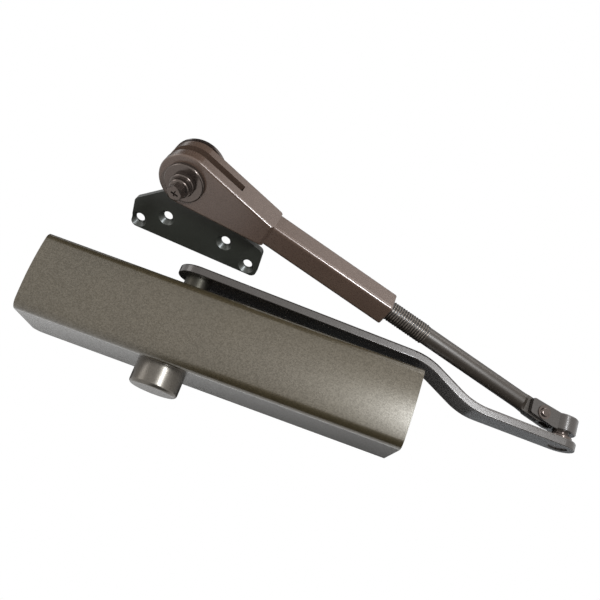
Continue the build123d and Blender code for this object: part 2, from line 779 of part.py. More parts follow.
# Forearm: square tube and forked head in one forging
slot_start = fork_bolt_at - fork_slot_depth
bolt_hole = bolt_radius + running_fit
with BuildPart() as forearm:
    with BuildSketch(fork_plane):
        with Locations((fork_bolt_at, 0)):
            Circle(fork_radius)
        with Locations((fork_start, 0)):
            Rectangle(1, 2 * fork_start_half_width, align=(Align.MIN, Align.CENTER))
        make_hull()
    extrude(amount=fork_half_thickness, both=True)
    start_edges = forearm.edges().group_by(Axis(cross_pin_centre, rod_along))[0]
    chamfer(start_edges.filter_by(Axis(cross_pin_centre, fork_plane.y_dir)), fork_step)
    cheek_faces = forearm.faces().filter_by(Axis(cross_pin_centre, bolt_up))
    far_edges = cheek_faces.edges().group_by(Axis(cross_pin_centre, rod_along))[1:]
    fillet([edge for group in far_edges for edge in group], fork_edge)
    with BuildSketch(rod_section(tube_start, fork_plane.y_dir)):
        RectangleRounded(tube_side, tube_side, tube_corner)
    extrude(amount=fork_start + fork_step - tube_start)
    tube_rim = forearm.edges().group_by(Axis(cross_pin_centre, rod_along))[0]
    fillet(tube_rim, tube_end_edge)
    with BuildSketch(fork_plane):
        with Locations((slot_start, 0)):
            Rectangle(2 * fork_slot_depth, 4 * fork_radius, align=(Align.MIN, Align.CENTER))
    extrude(amount=fork_slot_half, both=True, mode=Mode.SUBTRACT)
    with BuildSketch(bolt_plane):
        Circle(bolt_hole)
    extrude(amount=fork_half_thickness, both=True, mode=Mode.SUBTRACT)
    with BuildSketch(rod_section(tube_start)):
        Circle(thread_radius + running_fit)
    extrude(amount=tube_bore_end - tube_start, mode=Mode.SUBTRACT)
save(forearm.part, "forearm")

# Shoe: flat plate with a lobe in the fork and four countersunk screw holes
shoe_outline = [
    (shoe_short_end, -shoe_base),
    (shoe_short_end, -shoe_short_shoulder),
    (shoe_waist_half, -shoe_waist),
    (-shoe_waist_half, -shoe_waist),
    (-shoe_knee_along, -shoe_knee_out),
    (-shoe_long_end, -shoe_long_shoulder),
    (-shoe_long_end, -shoe_base),
]
shoe_holes = [
    (half - shoe_hole_middle, -out)
    for half, out in (
        (shoe_outer_spacing / 2, shoe_outer_out),
        (-shoe_outer_spacing / 2, shoe_outer_out),
        (shoe_inner_spacing / 2, shoe_inner_out),
        (-shoe_inner_spacing / 2, shoe_inner_out),
    )
]
with BuildPart() as shoe:
    with BuildSketch(shoe_plane) as plate:
        Polygon(*shoe_outline, align=None)
        ends = plate.vertices().group_by(Axis.X)
        fillet(ends[0] + ends[-1], shoe_corner)
        with Locations((0, -shoe_waist / 2)):
            Rectangle(2 * shoe_waist_half, shoe_waist + shoe_waist_half)
        Circle(shoe_lobe)
        Circle(bolt_hole, mode=Mode.SUBTRACT)
    extrude(amount=shoe_thickness / 2, both=True)
    with Locations(shoe_plane.offset(-shoe_thickness / 2)):
        with Locations(*[Location((x, y, 0), (180, 0, 0)) for x, y in shoe_holes]):
            CounterSinkHole(shoe_hole_radius, shoe_sink_radius)
save(shoe.part, "shoe")

# Friction discs between the shoe and the fork's cheeks
disc_thickness = fork_slot_half - shoe_thickness / 2
with BuildPart() as friction_discs:
    for side in (-1, 1):
        with BuildSketch(on_bolt(side * (fork_slot_half - disc_thickness / 2))):
            Circle(shoe_lobe)
            Circle(bolt_hole, mode=Mode.SUBTRACT)
        extrude(amount=disc_thickness / 2, both=True)
save(friction_discs.part, "friction_discs")


def bolt_ring(name, start, thickness, radius, split=0, edge=0):
    """Washer on the hold-open bolt, from a height along the bolt towards its end."""
    with BuildPart() as ring:
        with BuildSketch(on_bolt(start)):
            Circle(radius)
            Circle(bolt_hole, mode=Mode.SUBTRACT)
            if split:
                Rectangle(2 * radius, split, align=(Align.MIN, Align.CENTER), mode=Mode.SUBTRACT)
        extrude(amount=thickness)
        if edge:
            rims = ring.edges().sort_by(SortBy.LENGTH)[-2:]
            fillet(rims.sort_by_distance(on_bolt(start + thickness).origin)[0], edge)
    save(ring.part, name)
    return start + thickness


front = bolt_ring(
    "flat_washer", -fork_half_thickness, -flat_washer_thickness, flat_washer_radius, edge=washer_edge
)
front = bolt_ring("boss_washer", front, -boss_washer_thickness, boss_washer_radius, edge=washer_edge)
front = bolt_ring("lock_washer", front, -lock_washer_thickness, lock_washer_radius, lock_washer_split)
rear = bolt_ring(
    "rear_washer", fork_half_thickness, rear_washer_thickness, rear_washer_radius, edge=washer_edge
)

# Hold-open bolt from the front, and its nut behind the fork
flange_face = front - bolt_flange_height
hex_radius = bolt_hex_flats / math.sqrt(3)
with BuildPart() as hold_bolt:
    with BuildSketch(on_bolt(front)):
        Circle(bolt_radius)
    extrude(amount=rear + hold_nut_height + bolt_tail - front)
    with BuildSketch(on_bolt(front)):
        Circle(bolt_flange_radius)
    extrude(amount=-bolt_flange_height)
    with BuildSketch(on_bolt(flange_face)):
        RegularPolygon(hex_radius, 6)
    extrude(amount=-bolt_hex_height)
save(hold_bolt.part, "hold_bolt")

with BuildPart() as hold_nut:
    with BuildSketch(on_bolt(rear)):
        RegularPolygon(hold_nut_flats / math.sqrt(3), 6)
        Circle(bolt_hole, mode=Mode.SUBTRACT)
    extrude(amount=hold_nut_height)
save(hold_nut.part, "hold_nut")
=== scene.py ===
# %% [markdown]
# A door closer with a hold-open arm.
# The closer's solids come packed as a fixed frame: every piece already lies where the real one
# lies, in metres, with X along the cover, Y into the door and Z up.  This lesson dresses that
# frame: it sets the camera, lights it softly, gives each finish a procedural material and makes
# the shapes that the solids leave plain, such as threads, driver crosses and the spring's coils.

# %% Load the frame
import json
import math

import bmesh
import bpy
from mathutils import Matrix, Vector


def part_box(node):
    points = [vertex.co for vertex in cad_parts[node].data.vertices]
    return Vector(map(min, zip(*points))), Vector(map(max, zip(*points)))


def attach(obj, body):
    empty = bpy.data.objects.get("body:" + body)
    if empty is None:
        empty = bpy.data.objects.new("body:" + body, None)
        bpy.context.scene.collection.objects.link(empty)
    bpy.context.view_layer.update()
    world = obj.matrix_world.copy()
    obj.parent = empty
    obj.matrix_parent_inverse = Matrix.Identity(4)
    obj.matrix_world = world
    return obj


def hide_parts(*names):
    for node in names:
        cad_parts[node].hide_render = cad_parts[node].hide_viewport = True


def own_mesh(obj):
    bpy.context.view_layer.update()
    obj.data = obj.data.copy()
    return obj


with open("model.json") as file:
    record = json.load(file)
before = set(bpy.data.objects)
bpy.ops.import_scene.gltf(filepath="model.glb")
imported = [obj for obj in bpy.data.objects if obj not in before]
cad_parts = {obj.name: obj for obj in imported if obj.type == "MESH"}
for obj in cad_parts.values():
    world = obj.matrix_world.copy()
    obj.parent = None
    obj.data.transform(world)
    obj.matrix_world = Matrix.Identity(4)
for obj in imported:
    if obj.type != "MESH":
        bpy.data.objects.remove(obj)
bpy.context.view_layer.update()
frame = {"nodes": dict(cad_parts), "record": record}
scene = bpy.context.scene
scene.view_settings.view_transform = "Standard"

# %% [markdown]
# The camera.  The photograph was taken from in front of the closer and below it, close enough
# for strong perspective, and the picture is rolled so that the cover runs downhill.  A camera
# placed by its eye point, its line of sight and its roll keeps those three facts apart, which
# makes each one easy to adjust against the photograph.

# %% Camera
eye = Vector((0.06116, -0.59602, -0.12759))
sight = Vector((-0.0281, 0.9484, 0.3158)).normalized()
roll = math.radians(20.48)
focal_pixels = 730.1
picture_pixels = 600.0
sensor_width = 36.0

level_right = sight.cross(Vector((0, 0, 1))).normalized()
level_up = level_right.cross(sight)
right = level_right * math.cos(roll) + level_up * math.sin(roll)
up = right.cross(sight)
camera_data = bpy.data.cameras.new("photo_camera")
camera_data.sensor_width = sensor_width
camera_data.lens = sensor_width * focal_pixels / picture_pixels
camera_data.clip_start = 0.01
camera = bpy.data.objects.new("photo_camera", camera_data)
axes = Matrix((right, up, -sight)).transposed()
camera.matrix_world = Matrix.Translation(eye) @ axes.to_4x4()
scene.collection.objects.link(camera)
scene.camera = camera
print("lens", round(camera_data.lens, 1), "mm")

# %% [markdown]
# The white world.  The photograph has a pure white background, so the world is white where the
# camera, or a mirror-like reflection, looks straight at it, and a plain grey where it lights
# the object.  The Light Path node tells one kind of ray from another.


# %% Ray test
def either(tree, first, second):
    """A value that is 1 where one of two ray tests is 1."""
    node = tree.nodes.new("ShaderNodeMath")
    node.operation = "MAXIMUM"
    tree.links.new(first, node.inputs[0])
    tree.links.new(second, node.inputs[1])
    return node.outputs["Value"]


# %% World
fill_strength = 0.45
world = bpy.data.worlds.new("white_studio")
scene.world = world
world.use_nodes = True
nodes = world.node_tree.nodes
links = world.node_tree.links
nodes.clear()
world_out = nodes.new("ShaderNodeOutputWorld")
white = nodes.new("ShaderNodeBackground")
white.inputs["Color"].default_value = (1, 1, 1, 1)
white.inputs["Strength"].default_value = 1.0
fill = nodes.new("ShaderNodeBackground")
fill.inputs["Color"].default_value = (1, 1, 1, 1)
fill.inputs["Strength"].default_value = fill_strength
path = nodes.new("ShaderNodeLightPath")
world_mix = nodes.new("ShaderNodeMixShader")
seen = either(world.node_tree, path.outputs["Is Camera Ray"], path.outputs["Is Glossy Ray"])
seen_through = either(world.node_tree, seen, path.outputs["Is Transmission Ray"])
links.new(seen_through, world_mix.inputs["Fac"])
links.new(fill.outputs["Background"], world_mix.inputs[1])
links.new(white.outputs["Background"], world_mix.inputs[2])
links.new(world_mix.outputs["Shader"], world_out.inputs["Surface"])
print("world white where seen, strength", fill_strength, "where it lights")

# %% [markdown]
# The lamps.  A narrow, tall one stands in front, and its mirror image is the bright patch at
# the right end of the cover and the bright line on the rounded edges.  A weak one above and a
# weak one at the left fill in the rest.


# %% Softboxes
def softbox(name, place, aim, width, height, watts, colour=(1, 1, 1)):
    """A rectangular area lamp that looks at a point."""
    data = bpy.data.lights.new(name, "AREA")
    data.shape = "RECTANGLE"
    data.size = width
    data.size_y = height
    data.energy = watts
    data.color = colour
    lamp = bpy.data.objects.new(name, data)
    look = Vector(aim) - Vector(place)
    lamp.rotation_euler = look.to_track_quat("-Z", "Y").to_euler()
    lamp.location = place
    lamp.visible_camera = False
    scene.collection.objects.link(lamp)
    print(name, watts, "W")


centre = (0.05, -0.05, 0.03)
softbox("front_box", (0.6, -1.25, 0.09), centre, width=0.18, height=0.4, watts=19.5,
        colour=(0.88, 0.94, 1.0))
softbox("top_box", (0.65, -0.5, 1.0), centre, width=0.6, height=0.4, watts=2.8)
softbox("left_box", (-1.1, -0.6, 0.35), centre, width=0.5, height=0.9, watts=3.0)

# %% [markdown]
# The floor.  It lies well below the closer and keeps a soft shadow in its matt paint, but the
# camera and reflections see it as white as the background.

# %% Floor
floor_height = -0.42
floor_half = 3.0
floor_mesh = bpy.data.meshes.new("floor")
floor_mesh.from_pydata(
    [(-floor_half, -floor_half, floor_height), (floor_half, -floor_half, floor_height),
     (floor_half, floor_half, floor_height), (-floor_half, floor_half, floor_height)],
    [], [(0, 1, 2, 3)])
floor = bpy.data.objects.new("floor", floor_mesh)
scene.collection.objects.link(floor)
floor_coat = bpy.data.materials.new("pale_floor")
floor_coat.use_nodes = True
nodes = floor_coat.node_tree.nodes
links = floor_coat.node_tree.links
matt = nodes["Principled BSDF"]
matt.inputs["Base Color"].default_value = (0.85, 0.85, 0.85, 1)
matt.inputs["Roughness"].default_value = 0.9
bare = nodes.new("ShaderNodeEmission")
bare.inputs["Strength"].default_value = 1.0
path = nodes.new("ShaderNodeLightPath")
floor_mix = nodes.new("ShaderNodeMixShader")
floor_seen = either(floor_coat.node_tree, path.outputs["Is Camera Ray"], path.outputs["Is Glossy Ray"])
links.new(floor_seen, floor_mix.inputs["Fac"])
links.new(matt.outputs["BSDF"], floor_mix.inputs[1])
links.new(bare.outputs["Emission"], floor_mix.inputs[2])
links.new(floor_mix.outputs["Shader"], nodes["Material Output"].inputs["Surface"])
floor_mesh.materials.append(floor_coat)
print("floor at", floor_height)

# %% [markdown]
# The cards.  Gloss needs something dark to mirror, or it turns as white as the world.  Four
# cards that the camera can't see give it that: a dark one and a grey one stand side by side
# behind the closer, one hangs above it and one lies below it.  They keep the underside of the
# arm as dark as it is in the photograph.


# %% Cards
def card(name, corners, grey):
    """A card out of the picture that the camera doesn't see."""
    mesh = bpy.data.meshes.new(name)
    mesh.from_pydata(corners, [], [(0, 1, 2, 3)])
    paper = bpy.data.materials.new(name + "_paper")
    paper.use_nodes = True
    skin = paper.node_tree.nodes["Principled BSDF"]
    skin.inputs["Base Color"].default_value = (grey, grey, grey, 1)
    skin.inputs["Roughness"].default_value = 1.0
    mesh.materials.append(paper)
    sheet = bpy.data.objects.new(name, mesh)
    scene.collection.objects.link(sheet)
    sheet.visible_camera = False
    print(name, "grey", grey)


def level_card(name, near_left, far_right, height, grey):
    """A level card between two corners given as (x, y)."""
    left_x, near_y = near_left
    right_x, far_y = far_right
    card(name, [(left_x, near_y, height), (right_x, near_y, height),
                (right_x, far_y, height), (left_x, far_y, height)], grey)


behind = 0.25
dark_left = -0.45
dark_right = 0.24
grey_right = 0.6
foot_left = -0.068
foot_right = -0.118
card_top = 0.6
card("dark_card", [(dark_left, behind, foot_left), (dark_right, behind, foot_right),
                   (dark_right, behind, card_top), (dark_left, behind, card_top)], grey=0.01)
card("grey_card", [(dark_right, behind, foot_right), (grey_right, behind, foot_right),
                   (grey_right, behind, card_top), (dark_right, behind, card_top)], grey=0.22)
level_card("upper_card", (-0.6, -0.9), (0.15, 0.2), height=0.8, grey=0.03)
level_card("front_card", (-0.1, -1.5), (0.7, 0.02), height=-0.35, grey=0.02)

# %% [markdown]
# The joints.  The record that came with the frame says where each joint lies, so the places
# that the finishes and the added pieces need are read from it: the pin at the elbow, the line
# of the screwed rod, the hold-open bolt with its direction, and the spindle.

# %% Joint places from the record
joints = {joint["name"]: joint for joint in frame["record"]["behaviour"]["joints"]}
cross_pin = Vector(joints["elbow_tilt"]["pos_m"])
rod_along = Vector(joints["forearm_length"]["axis"])
bolt_at = Vector(joints["shoe_swing"]["pos_m"])
bolt_up = Vector(joints["shoe_swing"]["axis"])
spindle_at = Vector(joints["spindle_turn"]["pos_m"])
spindle_at.z = 0
print("cross pin", tuple(round(v, 4) for v in cross_pin))

# %% Sizes of the rod's thread, measured along the rod from the cross pin
thread_root = 0.0076
rod_pitch = 0.002117
thread_start = 0.1155
thread_end = 0.235
thread_foot = cross_pin + rod_along * thread_start
print("thread length", round(thread_end - thread_start, 4))

# %% [markdown]
# The bronze coat.  The cover and the arm wear the same kind of baked metallic coat: a brown grey
# film full of fine metal flakes that sparkle, with a slight orange peel and a clear gloss on top.
# One function makes every shade of it.  A tight Voronoi pattern picks the flakes, which also
# vary the clear gloss, two noises vary the colour and the roughness, and a shallow bump gives
# the peel.  All of them read Object coordinates, so the pattern stays put on the piece.


# %% Material helpers
def blank_material(name):
    """A material with its nodes on, and the handles that the recipes use."""
    material = bpy.data.materials.new(name)
    material.use_nodes = True
    tree = material.node_tree
    shader = tree.nodes["Principled BSDF"]
    place = tree.nodes.new("ShaderNodeTexCoord")
    return material, tree, shader, place.outputs["Object"]


def noise(tree, place, scale, detail=2.0):
    """A noise texture on Object coordinates; scale is in waves for each metre."""
    node = tree.nodes.new("ShaderNodeTexNoise")
    node.inputs["Scale"].default_value = scale
    node.inputs["Detail"].default_value = detail
    tree.links.new(place, node.inputs["Vector"])
    return node.outputs["Fac"]


def spread(tree, value, low, high):
    """Map a noise, which stays near its middle, to a range."""
    node = tree.nodes.new("ShaderNodeMapRange")
    node.inputs["From Min"].default_value = 0.3
    node.inputs["From Max"].default_value = 0.7
    node.inputs["To Min"].default_value = low
    node.inputs["To Max"].default_value = high
    tree.links.new(value, node.inputs["Value"])
    return node.outputs["Result"]


def tint(tree, factor, dark, light):
    """Blend two colours by a factor from 0 to 1."""
    node = tree.nodes.new("ShaderNodeMix")
    node.data_type = "RGBA"
    node.inputs["A"].default_value = (*dark, 1)
    node.inputs["B"].default_value = (*light, 1)
    tree.links.new(factor, node.inputs["Factor"])
    return node.outputs["Result"]


def bump(tree, shader, height, distance, strength):
    """A shallow bump on the shader's normal; distance is in metres."""
    node = tree.nodes.new("ShaderNodeBump")
    node.inputs["Distance"].default_value = distance
    node.inputs["Strength"].default_value = strength
    tree.links.new(height, node.inputs["Height"])
    tree.links.new(node.outputs["Normal"], shader.inputs["Normal"])


def painted_shade_past(tree, place, colour, foot, along, painted_shade):
    """Change a colour to a painted shade past a point along a line, standing in for the shade that falls
    between the ridges of a thread.
    """
    reach = tree.nodes.new("ShaderNodeVectorMath")
    reach.operation = "DOT_PRODUCT"
    reach.inputs[1].default_value = along
    tree.links.new(place, reach.inputs[0])
    past = tree.nodes.new("ShaderNodeMath")
    past.operation = "GREATER_THAN"
    past.inputs[1].default_value = foot.dot(along)
    tree.links.new(reach.outputs["Value"], past.inputs[0])
    node = tree.nodes.new("ShaderNodeMix")
    node.data_type = "RGBA"
    node.inputs["B"].default_value = (*painted_shade, 1)
    tree.links.new(past.outputs["Value"], node.inputs["Factor"])
    tree.links.new(colour, node.inputs["A"])
    return node.outputs["Result"]


# %% Bronze coat
def bronze_coat(name, dark, light, metal, gloss, root_shade=None, clear_low=0.4, clear_high=0.4,
                clear_ior=1.5, flake_scale=1500.0, flake_share=0.4):
    """Metallic baked coat, with an optional foot, direction and colour that paint shade on the part
    under a thread, where shade falls between its ridges.
    """
    material, tree, shader, place = blank_material(name)
    flakes = tree.nodes.new("ShaderNodeTexVoronoi")
    flakes.inputs["Scale"].default_value = flake_scale
    tree.links.new(place, flakes.inputs["Vector"])
    sparkle = tree.nodes.new("ShaderNodeSeparateColor")
    tree.links.new(flakes.outputs["Color"], sparkle.inputs["Color"])
    cloud = spread(tree, noise(tree, place, scale=25.0), low=0.23, high=0.37)
    mix = tree.nodes.new("ShaderNodeMath")
    mix.operation = "MULTIPLY_ADD"
    mix.inputs[1].default_value = flake_share
    tree.links.new(sparkle.outputs["Red"], mix.inputs[0])
    tree.links.new(cloud, mix.inputs[2])
    colour = tint(tree, mix.outputs["Value"], dark, light)
    # Past the thread's foot the colour turns to a painted shade, for the shade between the thread's
    # ridges.
    if root_shade is not None:
        colour = painted_shade_past(tree, place, colour, *root_shade)
    tree.links.new(colour, shader.inputs["Base Color"])
    uneven = spread(tree, noise(tree, place, scale=900.0), low=gloss - 0.03, high=gloss + 0.04)
    tree.links.new(uneven, shader.inputs["Roughness"])
    shader.inputs["Metallic"].default_value = metal
    clear = tree.nodes.new("ShaderNodeMapRange")
    clear.inputs["To Min"].default_value = clear_low
    clear.inputs["To Max"].default_value = clear_high
    tree.links.new(sparkle.outputs["Red"], clear.inputs["Value"])
    tree.links.new(clear.outputs["Result"], shader.inputs["Coat Weight"])
    shader.inputs["Coat IOR"].default_value = clear_ior
    shader.inputs["Coat Roughness"].default_value = gloss - 0.1
    bump(tree, shader, noise(tree, place, scale=500.0), distance=0.00002, strength=0.04)
    return material


# %% Shades of the bronze coat
cover_coat = bronze_coat("cover_coat", dark=(0.038, 0.028, 0.013), light=(0.078, 0.058, 0.028),
                         metal=0.4, gloss=0.32, clear_low=0.5, clear_high=1.0, clear_ior=1.78,
                         flake_scale=1300.0, flake_share=0.6)
arm_coat = bronze_coat("arm_coat", dark=(0.075, 0.048, 0.035), light=(0.128, 0.081, 0.059),
                       metal=0.2, gloss=0.28, clear_low=0.3, clear_high=0.6)
bar_coat = bronze_coat("bar_coat", dark=(0.045, 0.038, 0.033), light=(0.076, 0.064, 0.055),
                       metal=0.4, gloss=0.26, clear_low=0.5, clear_high=0.6, flake_share=0.1)
# Under its thread the rod's colour is a nearly black painted shade, standing in for the shade between
# the ridges.
rod_coat = bronze_coat("rod_coat", dark=(0.033, 0.026, 0.02), light=(0.056, 0.044, 0.034),
                       metal=0.3, gloss=0.38, root_shade=(thread_foot, rod_along, (0.012, 0.009, 0.007)),
                       clear_low=0.1, clear_high=0.3, clear_ior=1.4)
ridge_coat = bronze_coat("ridge_coat", dark=(0.1, 0.083, 0.067), light=(0.18, 0.15, 0.125),
                         metal=0.8, gloss=0.32)
shoe_coat = bronze_coat("shoe_coat", dark=(0.03, 0.031, 0.025), light=(0.055, 0.057, 0.046),
                        metal=0.3, gloss=0.4)
hardware_coat = bronze_coat("hardware_coat", dark=(0.065, 0.05, 0.042), light=(0.13, 0.1, 0.085),
                            metal=0.8, gloss=0.22)
cap_skin = bronze_coat("cap_skin", dark=(0.075, 0.065, 0.052), light=(0.15, 0.13, 0.107),
                       metal=0.7, gloss=0.33)
print("materials so far", len(bpy.data.materials))

# %% [markdown]
# The plain metals, rubber and fibre.  Machined steel shows a fine uneven grain, a die casting
# shows a coarser skin, and rubber and pressed fibre are matt.  Few of these show from outside,
# but a part that can be taken apart is looked at from inside too.


# %% Plain finishes
def machined(name, dark, light, gloss):
    """Machined steel: a fine uneven grain in colour, gloss and bump."""
    material, tree, shader, place = blank_material(name)
    grain = noise(tree, place, scale=900.0, detail=4.0)
    tree.links.new(tint(tree, grain, dark, light), shader.inputs["Base Color"])
    uneven = spread(tree, grain, low=gloss - 0.08, high=gloss + 0.1)
    tree.links.new(uneven, shader.inputs["Roughness"])
    shader.inputs["Metallic"].default_value = 1.0
    bump(tree, shader, noise(tree, place, scale=1500.0), distance=0.00004, strength=0.3)
    return material


def grained(name, dark, light, metal, gloss, scale):
    """Cast, moulded or pressed skin: a soft grain in colour, gloss and bump."""
    material, tree, shader, place = blank_material(name)
    skin = noise(tree, place, scale, detail=4.0)
    tree.links.new(tint(tree, skin, dark, light), shader.inputs["Base Color"])
    uneven = spread(tree, skin, low=gloss - 0.06, high=gloss + 0.06)
    tree.links.new(uneven, shader.inputs["Roughness"])
    shader.inputs["Metallic"].default_value = metal
    bump(tree, shader, skin, distance=0.00012, strength=0.5)
    return material


steel = machined("turned_steel", dark=(0.42, 0.41, 0.39), light=(0.62, 0.61, 0.58), gloss=0.3)
dull_steel = machined("dull_steel", dark=(0.034, 0.031, 0.025), light=(0.062, 0.057, 0.046),
                      gloss=0.42)
spring_wire = machined("spring_wire", dark=(0.16, 0.16, 0.17), light=(0.3, 0.3, 0.31), gloss=0.35)
casting = grained("die_casting", dark=(0.4, 0.4, 0.4), light=(0.56, 0.56, 0.55),
                  metal=0.9, gloss=0.5, scale=700.0)
rubber = grained("seal_rubber", dark=(0.02, 0.02, 0.02), light=(0.045, 0.045, 0.045),
                 metal=0.0, gloss=0.7, scale=1200.0)
fibre = grained("friction_fibre", dark=(0.12, 0.085, 0.055), light=(0.24, 0.18, 0.12),
                metal=0.0, gloss=0.8, scale=1800.0)

# %% Put the finishes on
finish_of_slot = {
    "bronze_cover": cover_coat,
    "bronze_arm": arm_coat,
    "bronze_cap": cap_skin,
    "dark_shoe": shoe_coat,
    "bronze_hardware": hardware_coat,
    "plain_steel": steel,
    "spring_steel": spring_wire,
    "cast_body": casting,
    "seal_rubber": rubber,
    "friction_fibre": fibre,
}
finish_of_node = {"rod": rod_coat, "main_arm": bar_coat, "knuckle": bar_coat, "pinion_shaft": dull_steel}
for entry in frame["record"]["subparts"]:
    node = entry["node"]
    finish = finish_of_node.get(node, finish_of_slot[entry["material_slot"]])
    piece = frame["nodes"][node]
    piece.data.materials.clear()
    piece.data.materials.append(finish)
print("finishes", len(finish_of_slot), "by slot and", len(finish_of_node), "by node")

# %% [markdown]
# The rod's thread.  The forearm's length is set by screwing the rod in its tube, and the
# photograph shows the ridges of that thread between the plain rod and the tube.  A thread is
# one ridge wound on a helix, so Geometry Nodes makes it: a spiral curve gives the path, and a
# small circle with only four sides, which is a square on its corner, is swept along it.  With
# more sides the same tree winds round wire, which the main spring needs later.


# %% Thread tree
def thread_tree():
    """Geometry Nodes tree that winds one ridge along a helix on its own Z axis."""
    tree = bpy.data.node_groups.new("thread_ridge", "GeometryNodeTree")
    face = tree.interface
    for label in ("Radius", "Pitch", "Length", "Ridge"):
        face.new_socket(label, in_out="INPUT", socket_type="NodeSocketFloat")
    face.new_socket("Sides", in_out="INPUT", socket_type="NodeSocketInt")
    face.new_socket("Coat", in_out="INPUT", socket_type="NodeSocketMaterial")
    face.new_socket("Geometry", in_out="OUTPUT", socket_type="NodeSocketGeometry")
    given = tree.nodes.new("NodeGroupInput")
    result = tree.nodes.new("NodeGroupOutput")
    turns = tree.nodes.new("ShaderNodeMath")
    turns.operation = "DIVIDE"
    helix = tree.nodes.new("GeometryNodeCurveSpiral")
    helix.inputs["Resolution"].default_value = 40
    ridge = tree.nodes.new("GeometryNodeCurvePrimitiveCircle")
    sweep = tree.nodes.new("GeometryNodeCurveToMesh")
    sweep.inputs["Fill Caps"].default_value = True
    real = tree.nodes.new("GeometryNodeRealizeInstances")
    coat = tree.nodes.new("GeometryNodeSetMaterial")
    join = tree.links.new
    join(given.outputs["Length"], turns.inputs[0])
    join(given.outputs["Pitch"], turns.inputs[1])
    join(turns.outputs["Value"], helix.inputs["Rotations"])
    join(given.outputs["Radius"], helix.inputs["Start Radius"])
    join(given.outputs["Radius"], helix.inputs["End Radius"])
    join(given.outputs["Length"], helix.inputs["Height"])
    join(given.outputs["Ridge"], ridge.inputs["Radius"])
    join(given.outputs["Sides"], ridge.inputs["Resolution"])
    join(helix.outputs["Curve"], sweep.inputs["Curve"])
    join(ridge.outputs["Curve"], sweep.inputs["Profile Curve"])
    join(sweep.outputs["Mesh"], real.inputs["Geometry"])
    join(real.outputs["Geometry"], coat.inputs["Geometry"])
    join(given.outputs["Coat"], coat.inputs["Material"])
    join(coat.outputs["Geometry"], result.inputs["Geometry"])
    return tree


ridge_tree = thread_tree()
print("thread tree nodes", len(ridge_tree.nodes))


# %% Thread maker
def frozen(holder, name):
    """The evaluated mesh of an object, on a plain object of its own."""
    bpy.context.view_layer.update()
    graph = bpy.context.evaluated_depsgraph_get()
    mesh = bpy.data.meshes.new_from_object(holder.evaluated_get(graph), depsgraph=graph)
    bpy.data.objects.remove(holder)
    piece = bpy.data.objects.new(name, mesh)
    scene.collection.objects.link(piece)
    return piece


def thread(name, foot, along, radius, pitch, length, ridge, coat, sides=4):
    """One winding of square ridge or round wire, laid along a line in the frame."""
    holder = bpy.data.objects.new(name + "_holder", bpy.data.meshes.new(name + "_holder"))
    scene.collection.objects.link(holder)
    winding = holder.modifiers.new("thread", "NODES")
    winding.node_group = ridge_tree
    sizes = {"Radius": radius, "Pitch": pitch, "Length": length,
             "Ridge": ridge, "Sides": sides, "Coat": coat}
    for item in ridge_tree.interface.items_tree:
        if item.in_out == "INPUT":
            winding[item.identifier] = sizes[item.name]
    piece = frozen(holder, name)
    turn = along.to_track_quat("Z", "Y").to_matrix().to_4x4()
    piece.data.transform(Matrix.Translation(foot) @ turn)
    return piece


# %% Rod thread
ridge_sunk = 0.0002
rod_thread = thread("rod_thread", thread_foot, rod_along, radius=thread_root - ridge_sunk,
                    pitch=rod_pitch, length=thread_end - thread_start, ridge=0.00085, coat=ridge_coat)
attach(rod_thread, "rod")
print("thread faces", len(rod_thread.data.polygons))

# %% [markdown]
# The hold-open bolt.  The photograph shows a hexagon head with turned corners and a cross for a
# screwdriver, on a flange of its own.  The solid gives the sizes and leaves the head plain, so
# the bolt is made again here as a machinist would: a hexagon bar, its corners taken off by a
# cone, the cross pressed in, and the turned flange and shank added.  Booleans do the cutting and
# are frozen into a plain mesh.  The same thread tree winds the thread on the bolt's tail.

# %% Directions
sideways = Vector((1, 0, 0))
inward = Vector((0, 1, 0))
upward = Vector((0, 0, 1))
sharp_angle = math.radians(30)


# %% Shape helpers
def laid(foot, along, across):
    """Matrix that lays a shape built on its own Z axis at a place in the frame."""
    turn = Matrix((across, along.cross(across), along)).transposed()
    return Matrix.Translation(foot) @ turn.to_4x4()


def shape(name, points, faces, lay):
    """A closed mesh from points in its own axes, laid in the frame with its faces outward."""
    mesh = bpy.data.meshes.new(name)
    mesh.from_pydata([lay @ Vector(point) for point in points], [], faces)
    solid = bmesh.new()
    solid.from_mesh(mesh)
    bmesh.ops.recalc_face_normals(solid, faces=solid.faces)
    solid.to_mesh(mesh)
    solid.free()
    piece = bpy.data.objects.new(name, mesh)
    scene.collection.objects.link(piece)
    return piece


def between_rings(name, rings, lay):
    """A closed mesh through rings of points, all with the same number of points."""
    count = len(rings[0])
    points = [point for ring in rings for point in ring]
    faces = [tuple(range(count)), tuple(range(len(points) - count, len(points)))]
    for low in range(0, len(points) - count, count):
        for index in range(count):
            after = (index + 1) % count
            faces.append((low + index, low + after, low + count + after, low + count + index))
    return shape(name, points, faces, lay)


def lathe(name, profile, lay, sides=48):
    """Turn a profile of (radius, height) pairs about its axis; six sides make a hexagon bar."""
    angles = [2 * math.pi * side / sides for side in range(sides)]
    rings = [[(radius * math.cos(angle), radius * math.sin(angle), height) for angle in angles]
             for radius, height in profile]
    return between_rings(name, rings, lay)


# %% Carving helpers
def cross_bars(name, length, width, depth, lay):
    """Two tapered bars that press a driver cross below the plane they are laid on."""
    narrow = 0.55
    wide = 1.45
    bars = []
    for index, (size_x, size_y) in enumerate(((length, width), (width, length))):
        rings = []
        for height, share in ((-depth, narrow), (depth, wide)):
            x = size_x * share / 2
            y = size_y * share / 2
            rings.append([(-x, -y, height), (x, -y, height), (x, y, height), (-x, y, height)])
        bars.append(("DIFFERENCE", between_rings(f"{name}_{index}", rings, lay)))
    return bars


